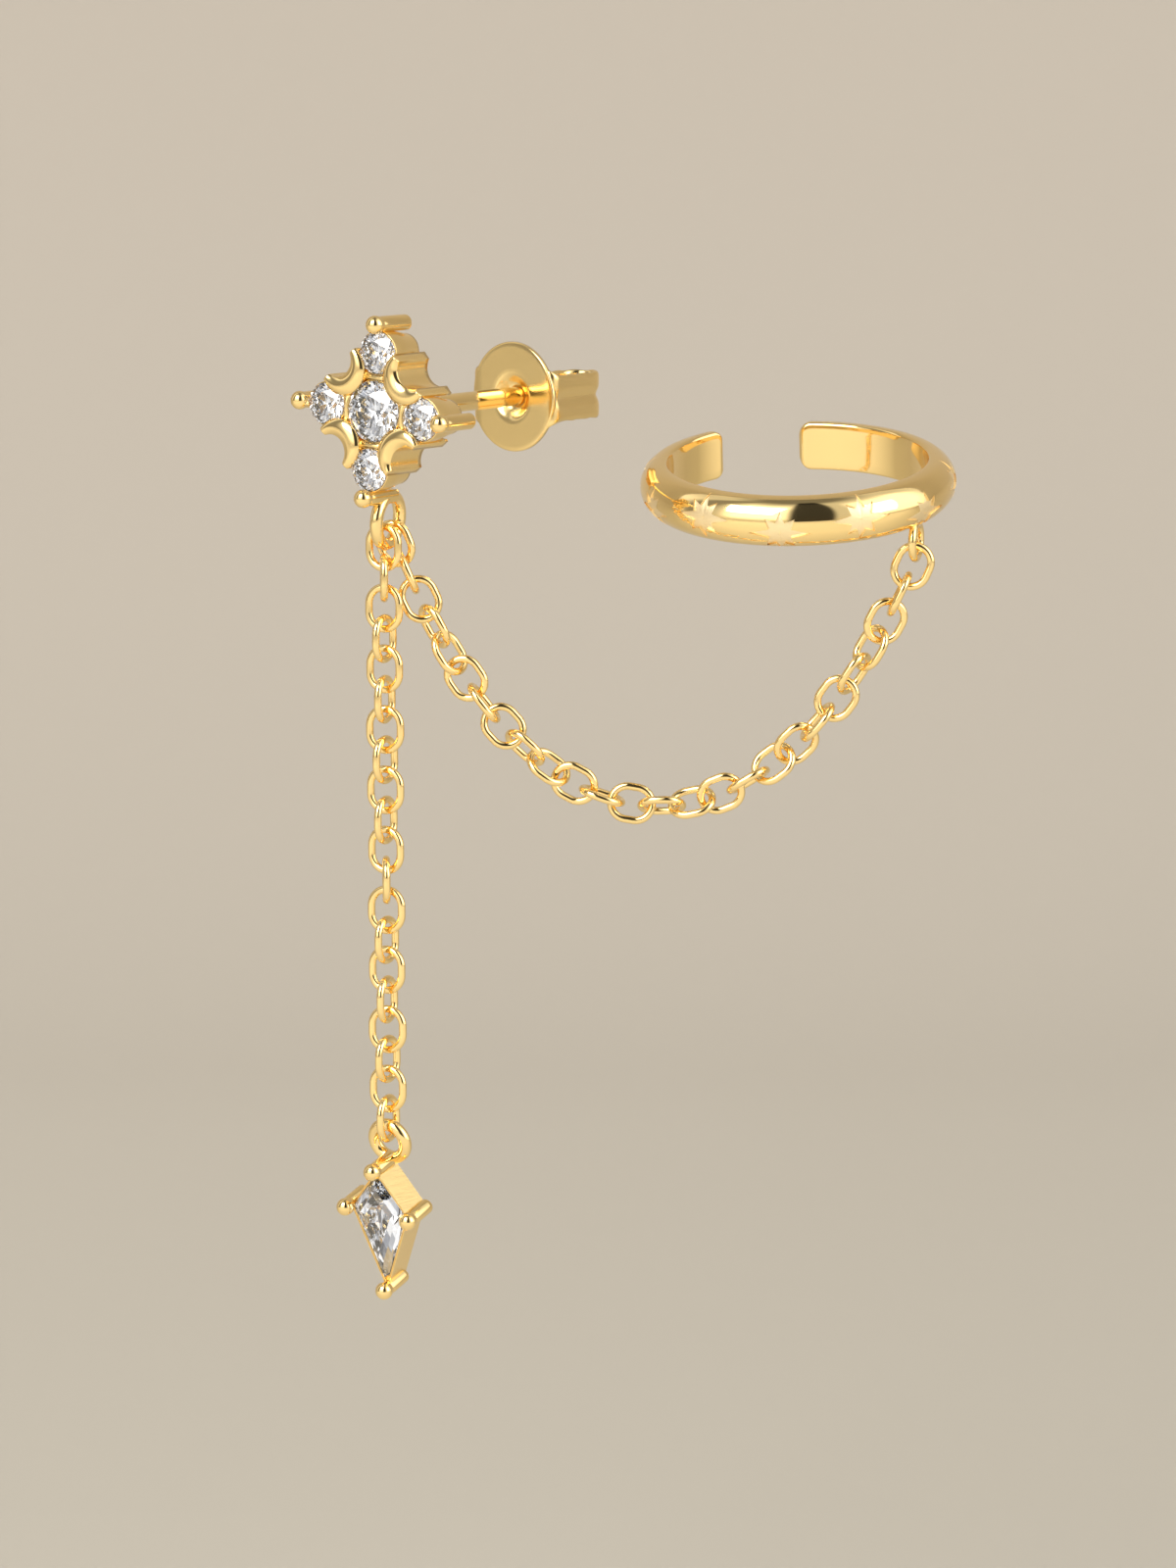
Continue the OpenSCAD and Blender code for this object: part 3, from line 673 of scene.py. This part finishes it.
def make_cuff():
    mount = next(m for m in frame["record"]["mounts"] if m["name"] == "cuff_grip")
    centre = Vector(mount["pos_m"]) / MM
    lean = (turns(0, 0, CUFF_LEAN_AT) @ turns(0, CUFF_LEAN, 0) @ turns(0, 0, -CUFF_LEAN_AT))
    matrix = placed(*centre) @ lean
    band = Piece("cuff_band")
    section = cuff_section()
    middle = np.array([CUFF_IN_R + CUFF_WALL * 0.45, 0])
    start, end = CUFF_GAP_AT + CUFF_GAP / 2, CUFF_GAP_AT + 360 - CUFF_GAP / 2
    soft = np.array(CUFF_END_SOFT)
    per_mm = math.degrees(1 / CUFF_OUT_R)
    near = soft.max() * (1 - np.cos(np.linspace(0, math.pi / 2, 15)))
    stations = np.concatenate([start + near * per_mm,
                               np.linspace(start + near[-1] * per_mm, end - near[-1] * per_mm, 240)[1:-1],
                               (end - near * per_mm)[::-1]])
    rows = []
    for a in stations:
        gap = min(a - start, end - a) / per_mm
        inset = soft - np.sqrt(np.maximum(0, soft ** 2 - np.maximum(0, soft - gap) ** 2))
        shrink = 1 - 2 * inset / (CUFF_WALL, CUFF_H)
        flat = middle + (section - middle) * shrink
        t = math.radians(a)
        rows.append(np.stack([flat[:, 0] * math.cos(t), flat[:, 0] * math.sin(t), flat[:, 1]], 1))
    band.add(grid(rows, wrap_cols=True))
    for row in (rows[0], rows[-1]):
        band.add(grid([row, np.repeat(row.mean(0)[None], len(row), 0)], wrap_cols=True))
    obj = band.build([POLISHED, SAND], "earring", ["ear_cuff"])
    stars = Piece("star_cutters")
    reach = (360 - CUFF_GAP) / 2 - math.degrees(math.asin(1.2 / CUFF_OUT_R))
    for k in range(-9, 10):
        if abs(CUFF_LOOP_AT + 180 - CUFF_GAP_AT + STAR_STEP * k) < reach:
            stars.add(star_cutter(CUFF_LOOP_AT + STAR_STEP * k, STAR_LEVELS[k % 2], STAR_W, STAR_H), ROUGH)
    mesh = new_mesh(stars.name, stars.points, stars.faces, stars.slots)
    mesh.materials.append(POLISHED)
    mesh.materials.append(SAND)
    cutter = new_object(stars.name, mesh)
    clean(cutter)
    cut = obj.modifiers.new("stars", "BOOLEAN")
    cut.operation, cut.object, cut.solver = "DIFFERENCE", cutter, "EXACT"
    cut.material_mode = "INDEX"
    depsgraph = bpy.context.evaluated_depsgraph_get()
    done = bpy.data.meshes.new_from_object(obj.evaluated_get(depsgraph))
    obj.modifiers.clear()
    obj.data = done
    done.name = "cuff_band"
    bpy.data.objects.remove(cutter)
    sharp_between_materials(done)
    # The small loop under the band
    loop_r = (CUFF_LOOP_D - CUFF_LOOP_WIRE) / 2
    loop_z = -CUFF_H / 2 - loop_r + CUFF_LOOP_WIRE / 2
    at = math.radians(CUFF_LOOP_AT)
    mid = CUFF_IN_R + CUFF_WALL / 2
    loop = torus(loop_r, CUFF_LOOP_WIRE, 64, 20)
    place = placed(mid * math.cos(at), mid * math.sin(at), loop_z) @ turns(0, 0, CUFF_LOOP_PLANE)
    join(obj, new_mesh("cuff_loop", *moved(loop, place)))
    obj.data.transform(to_metres(matrix))


def join(obj, extra):
    """Adds a mesh to an object's own."""
    work = bmesh.new()
    work.from_mesh(obj.data)
    work.from_mesh(extra)
    work.to_mesh(obj.data)
    work.free()
    bpy.data.meshes.remove(extra)


def sharp_between_materials(mesh):
    """Marks the edges where two materials meet as sharp, and smooths the rest."""
    work = bmesh.new()
    work.from_mesh(mesh)
    for face in work.faces:
        face.smooth = True
    for edge in work.edges:
        if len({f.material_index for f in edge.link_faces}) > 1:
            edge.smooth = False
        elif len(edge.link_faces) == 2 and edge.calc_face_angle() > math.radians(50):
            edge.smooth = False
    work.to_mesh(mesh)
    work.free()


make_cuff()


# Pendant

EDGE_UP = math.hypot(KITE_HALF_W, KITE_UP)
EDGE_DOWN = math.hypot(KITE_HALF_W, KITE_DOWN)


def kite(d):
    """The kite's four corners (x, z), moved outwards by d."""
    side = KITE_HALF_W + d * (EDGE_UP + EDGE_DOWN) / (KITE_UP + KITE_DOWN)
    side_z = KITE_UP + (d * EDGE_UP - KITE_UP * side) / KITE_HALF_W
    return [(0, KITE_UP + d * EDGE_UP / KITE_HALF_W), (side, side_z),
            (0, -KITE_DOWN - d * EDGE_DOWN / KITE_HALF_W), (-side, side_z)]


def make_pendant():
    joint = next(j for j in frame["joints"] if j["name"] == "pendant_swing")
    hang = Vector(joint["pos_m"]) / MM
    bead_out = KITE_BEAD_D / 2 - HOLD
    ring_r = (RING_D - RING_WIRE) / 2
    ring_z = KITE_UP + bead_out + ring_r
    ring_y = KITE_DEPTH - RING_WIRE / 2 + RING_BACK
    hook = RING_WIRE / 2 + LINK_WIRE / 2 + LINK_CLEAR
    matrix = placed(*hang) @ placed(0, 0, hook) @ turns(*KITE_TURNS) @ placed(0, -ring_y, -ring_z - ring_r)
    setting = Piece("kite_frame")
    # The frame's section, with its double rim in front
    wide, deep = KITE_FRAME_WALL, KITE_DEPTH
    section = [(-0.1, deep - 0.03), (-0.07, deep), (wide - 0.03, deep), (wide, deep - 0.03),
               (wide, -0.03), (wide - 0.015, -0.055), (wide - 0.04, -0.055), (wide - 0.055, -0.02),
               (wide - 0.07, -0.045), (wide - 0.1, -0.045), (wide - 0.115, -0.01), (wide - 0.13, 0.08),
               (-0.1, 0.25)]
    rows = []
    for d, y in section:
        rows.append([(x, y, z) for x, z in kite(d)])
    setting.add(grid(rows, wrap_rows=True, wrap_cols=True), ROUGH, flat=True)
    corners = [(0, KITE_UP + bead_out), (KITE_HALF_W + bead_out, 0), (0, -KITE_DOWN - bead_out),
               (-KITE_HALF_W - bead_out, 0)]
    for corner in corners:
        setting.add(lathe(prong(KITE_ROD_D, KITE_BEAD_D, KITE_DEPTH, -BEAD_FRONT), 40, corner))
    setting.add(torus(ring_r, RING_WIRE), matrix=placed(0, ring_y, ring_z))
    setting.build([POLISHED, SATIN], "pendant", ["kite_setting"], matrix)
    return matrix


def make_kite_stone(matrix):
    """A kite cut with rings of small facets, each turned half a step to the next."""
    outline, n = np.array(kite(0)), KITE_FACETS
    points = []
    for share, y, shift in KITE_RINGS:
        for k in range(n):
            q = (k + shift) * 4 / n % 4
            corner, part = int(q), q - int(q)
            p = (outline[corner] * (1 - part) + outline[(corner + 1) % 4] * part) * share
            points.append((p[0], y, p[1]))
    faces = [tuple(range(n))]
    for r, ((_, _, here), (_, _, after)) in enumerate(zip(KITE_RINGS, KITE_RINGS[1:])):
        for k in range(n):
            a, b, c, d = r * n + k, r * n + (k + 1) % n, (r + 1) * n + (k + 1) % n, (r + 1) * n + k
            if here == after:
                faces.append((a, b, c, d))
            elif here:
                faces += [(a, b, c), (a, c, d)]
            else:
                faces += [(a, b, d), (b, c, d)]
    culet = len(points)
    points.append((0, KITE_CULET, 0))
    last = culet - n
    faces += [(last + k, last + (k + 1) % n, culet) for k in range(n)]
    stone = Piece("kite_stone_cut")
    stone.add((np.array(points, float), faces), flat=True)
    stone.build([STONE], "pendant", ["kite_stone"], matrix)


make_kite_stone(make_pendant())

for stone in ("stone_centre", "stone_top", "stone_right", "stone_bottom", "stone_left"):
    node = frame["nodes"][stone]
    node.data.materials.clear()
    node.data.materials.append(STONE)


# Floor, wall and light

FLOOR_Z = -62.0
WALL_BACK = 330.0
WALL_BEND = 160.0
SHEET_HALF_W = 1500.0
SHEET_FRONT = -900.0
SHEET_TOP = 900.0
# The sheet's colours from the first of these depths behind the earring to the second, in metres
SHEET_DEPTHS = (-0.05, 0.35)
# Painted light: the first and palest tone is a pool of light painted on the floor just in front of the earring;
# behind it the sheet is a touch lighter at the bend and darker up the wall
SHEET_TONES_AND_PAINTED_LIGHT = [
    (0.02, (0.84, 0.81, 0.74)),
    (0.26, (0.505, 0.474, 0.41)),
    (0.5, (0.53, 0.494, 0.428)),
    (0.86, (0.512, 0.465, 0.402))]


def make_stage():
    """A pale floor that curves up into a wall, with a pool of light painted on the floor in front of the earring.
    """
    right = Vector((math.cos(AZIMUTH), math.sin(AZIMUTH), 0))
    ahead = Vector((-math.sin(AZIMUTH), math.cos(AZIMUTH), 0))
    bend_at = WALL_BACK - WALL_BEND
    line = [(SHEET_FRONT, FLOOR_Z), (bend_at, FLOOR_Z)]
    line += [(bend_at + WALL_BEND * math.sin(t), FLOOR_Z + WALL_BEND * (1 - math.cos(t)))
             for t in np.linspace(0, math.pi / 2, 25)[1:]]
    line += [(WALL_BACK, SHEET_TOP)]
    rows = [[ahead * y + right * x + Vector((0, 0, z)) for x in (-SHEET_HALF_W, SHEET_HALF_W)]
            for y, z in line]
    mesh = new_mesh("backdrop", *grid(np.array(rows)))
    material, nodes, links, shader = new_material("pale_wall_and_painted_light")
    shader.inputs["Roughness"].default_value = 0.9
    where = nodes.new("ShaderNodeTexCoord")
    cloud = new_noise(nodes, links, where.outputs["Object"], 6)
    shade = nodes.new("ShaderNodeMix")
    shade.data_type = "RGBA"
    shade.inputs["A"].default_value = (0.94, 0.94, 0.94, 1)
    shade.inputs["B"].default_value = (1, 1, 1, 1)
    links.new(cloud, shade.inputs["Factor"])
    # Painted light: the sheet is painted palest in front of the earring, a pool of light that the gold and stones
    # reflect
    depth = nodes.new("ShaderNodeVectorMath")
    depth.operation = "DOT_PRODUCT"
    depth.inputs[1].default_value = ahead
    links.new(where.outputs["Object"], depth.inputs[0])
    behind = nodes.new("ShaderNodeMapRange")
    behind.inputs["From Min"].default_value = SHEET_DEPTHS[0]
    behind.inputs["From Max"].default_value = SHEET_DEPTHS[1]
    links.new(depth.outputs["Value"], behind.inputs["Value"])
    tones = new_ramp(nodes, SHEET_TONES_AND_PAINTED_LIGHT)
    # Seen directly, the near floor has the tone of the floor further back, so the painted pool of light shows only
    # in reflections and bounce light
    path = nodes.new("ShaderNodeLightPath")
    least = nodes.new("ShaderNodeMath")
    least.operation = "MULTIPLY"
    least.inputs[1].default_value = SHEET_TONES_AND_PAINTED_LIGHT[1][0]
    links.new(path.outputs["Is Camera Ray"], least.inputs[0])
    shown = nodes.new("ShaderNodeMath")
    shown.operation = "MAXIMUM"
    links.new(behind.outputs["Result"], shown.inputs[0])
    links.new(least.outputs["Value"], shown.inputs[1])
    links.new(shown.outputs["Value"], tones.inputs["Fac"])
    tinted = nodes.new("ShaderNodeMix")
    tinted.data_type, tinted.blend_type = "RGBA", "MULTIPLY"
    tinted.inputs["Factor"].default_value = 1
    links.new(tones.outputs["Color"], tinted.inputs["A"])
    links.new(shade.outputs["Result"], tinted.inputs["B"])
    links.new(tinted.outputs["Result"], shader.inputs["Base Color"])
    mesh.materials.append(material)
    obj = new_object("backdrop", mesh)
    obj.visible_transmission = False


# The camera: the photo's focal length in its own pixels, and the pixel of the middle stone
PHOTO_W, PHOTO_H = 1200, 1600
FOCAL = 5500.0
STONE_PIXEL = (381.0, 420.1)
STONE_AT = Vector((0, -SEAT_DEPTH, 0))
DISTANCE = 217.8
AZIMUTH, ELEVATION, ROLL = (math.radians(v) for v in (34.86, 8.40, -0.15))


def make_camera():
    ca, sa, ce, se = math.cos(AZIMUTH), math.sin(AZIMUTH), math.cos(ELEVATION), math.sin(ELEVATION)
    level, plumb = Vector((ca, sa, 0)), Vector((se * sa, -se * ca, -ce))
    ahead = Vector((-ce * sa, ce * ca, -se))
    right = level * math.cos(ROLL) - plumb * math.sin(ROLL)
    down = level * math.sin(ROLL) + plumb * math.cos(ROLL)
    u, v = (STONE_PIXEL[0] - PHOTO_W / 2) / FOCAL, (STONE_PIXEL[1] - PHOTO_H / 2) / FOCAL
    eye = STONE_AT - (right * u + down * v + ahead) * DISTANCE
    camera = bpy.data.cameras.new("camera")
    camera.sensor_fit, camera.sensor_height = "VERTICAL", 24
    camera.lens = FOCAL / PHOTO_H * camera.sensor_height
    camera.clip_start, camera.clip_end = 0.01, 20
    matrix = Matrix((right, -down, -ahead)).transposed().to_4x4()
    matrix.translation = eye * MM
    obj = new_object("camera", camera)
    obj.matrix_world = matrix
    bpy.context.scene.camera = obj


LIGHT_TARGET = (6, 3, -14)


def make_light(name, side, height, distance, size, power, tint):
    """A soft lamp. side is its angle to the right of the camera's own direction, in degrees."""
    a = AZIMUTH + math.radians(side)
    h = math.radians(height)
    away = Vector((math.sin(a) * math.cos(h), -math.cos(a) * math.cos(h), math.sin(h)))
    lamp = bpy.data.lights.new(name, "AREA")
    lamp.shape, lamp.size, lamp.size_y = "RECTANGLE", size[0] * MM, size[1] * MM
    lamp.energy, lamp.color = power, tint
    obj = new_object(name, lamp)
    obj.location = (Vector(LIGHT_TARGET) + away * distance) * MM
    obj.rotation_euler = away.to_track_quat("Z", "Y").to_euler()


def make_world():
    """A studio seen only in reflections: bright screens at half height, a dim ceiling and dark flags."""
    world = bpy.data.worlds.new("studio")
    bpy.context.scene.world = world
    world.use_nodes = True
    nodes, links = world.node_tree.nodes, world.node_tree.links

    def put(socket, value):
        if isinstance(value, bpy.types.NodeSocket):
            links.new(value, socket)
        else:
            socket.default_value = value

    def calc(operation, *values):
        node = nodes.new("ShaderNodeMath")
        node.operation = operation
        for socket, value in zip(node.inputs, values):
            put(socket, value)
        return node.outputs[0]

    def step(value, low, high):
        node = nodes.new("ShaderNodeMapRange")
        node.interpolation_type = "SMOOTHSTEP"
        node.inputs["From Min"].default_value = low
        node.inputs["From Max"].default_value = high
        put(node.inputs["Value"], value)
        return node.outputs["Result"]

    def band(value, low, high, soft):
        return calc("MULTIPLY", step(value, low - soft, low + soft),
                    calc("SUBTRACT", 1.0, step(value, high - soft, high + soft)))

    def screen(left, right, low, high, soft):
        """1 inside a screen given by angles from the camera's side of the scene, in degrees."""
        d = math.radians
        across = band(around, d(left), d(right), d(soft))
        return calc("MULTIPLY", across, band(up, d(low), d(high), d(soft)))

    where = nodes.new("ShaderNodeTexCoord")
    split = nodes.new("ShaderNodeSeparateXYZ")
    links.new(where.outputs["Generated"], split.inputs["Vector"])
    x, y, z = split.outputs
    ca, sa = math.cos(AZIMUTH), math.sin(AZIMUTH)
    side = calc("ADD", calc("MULTIPLY", x, ca), calc("MULTIPLY", y, sa))
    near = calc("SUBTRACT", calc("MULTIPLY", x, sa), calc("MULTIPLY", y, ca))
    around = calc("ARCTAN2", side, near)
    up = calc("ARCSINE", z)
    level = WORLD_BASE
    for strength, *edges in SCREENS:
        level = calc("ADD", level, calc("MULTIPLY", screen(*edges), strength))
    ceiling = step(up, math.radians(CEILING[1]), math.radians(CEILING[2]))
    level = calc("MULTIPLY", level, calc("SUBTRACT", 1.0, calc("MULTIPLY", ceiling, CEILING[0])))
    for darkness, *edges in FLAGS:
        level = calc("MULTIPLY", level, calc("SUBTRACT", 1.0, calc("MULTIPLY", screen(*edges), darkness)))
    ramp = new_ramp(nodes, ROOM_TONES)
    links.new(calc("MULTIPLY_ADD", z, 0.5, 0.5), ramp.inputs["Fac"])
    studio = nodes.new("ShaderNodeVectorMath")
    studio.operation = "SCALE"
    links.new(ramp.outputs["Color"], studio.inputs[0])
    links.new(level, studio.inputs["Scale"])

    # Light that comes out of a cut stone is split over the room's many small lights and gaps
    spark = new_ramp(nodes, STONE_LIGHTS)
    links.new(new_noise(nodes, links, where.outputs["Generated"], 5, 1), spark.inputs["Fac"])
    lit = nodes.new("ShaderNodeVectorMath")
    lit.operation = "SCALE"
    lit.inputs["Scale"].default_value = STONE_LIGHT_POWER
    links.new(spark.outputs["Color"], lit.inputs[0])

    # The camera itself sees a plain pale wall all round
    path = nodes.new("ShaderNodeLightPath")
    seen = studio.outputs["Vector"]
    for flag, other in ((path.outputs["Is Transmission Ray"], lit.outputs["Vector"]),
                        (path.outputs["Is Camera Ray"], PLAIN_WALL)):
        mix = nodes.new("ShaderNodeMix")
        mix.data_type = "RGBA"
        links.new(flag, mix.inputs["Factor"])
        links.new(seen, mix.inputs["A"])
        put(mix.inputs["B"], other)
        seen = mix.outputs["Result"]
    links.new(seen, nodes["Background"].inputs["Color"])


WORLD_BASE = 0.74
# The room's tint from floor to ceiling, and the ceiling's darkness with the angles where it begins
ROOM_TONES = [(0.3, (1.0, 0.9, 0.76)), (0.7, (1.0, 0.98, 0.95))]
CEILING = (0.7, 65.9, 80.2)
# Brightness or darkness, then left, right, lower and upper edge and softness, in degrees
SCREENS = [
    (1.4, -56, -12, 4, 62, 8),
    (1.1, 40, 100, -4, 60, 8),
    (0.5, 110, 170, 0, 50, 12),
    (0.5, -150, -95, 0, 50, 12)]
FLAGS = [
    (0.93, -9, 24, -12, 80, 3),
    (0.6, -92, -68, -10, 75, 6)]
# What shows through a stone, by the noise's value: gaps, grey screens and lamps
STONE_LIGHTS = [
    (0.36, (0.05, 0.055, 0.07)),
    (0.43, (0.3, 0.32, 0.37)),
    (0.52, (0.6, 0.61, 0.63)),
    (0.64, (1.0, 1.0, 1.0))]
STONE_LIGHT_POWER = 1.25
PLAIN_WALL = (0.64, 0.57, 0.47, 1)

make_camera()
make_stage()
make_world()
make_light("key_light", -38, 42, 420, (240, 220), 1.0, (1, 0.97, 0.92))
make_light("fill_light", 60, 25, 450, (200, 300), 0.4, (1, 0.96, 0.9))

scene = bpy.context.scene
scene.cycles.max_bounces = 24
scene.cycles.glossy_bounces = 8
scene.cycles.transmission_bounces = 20
scene.cycles.use_denoising = True
scene.view_settings.view_transform = "Standard"
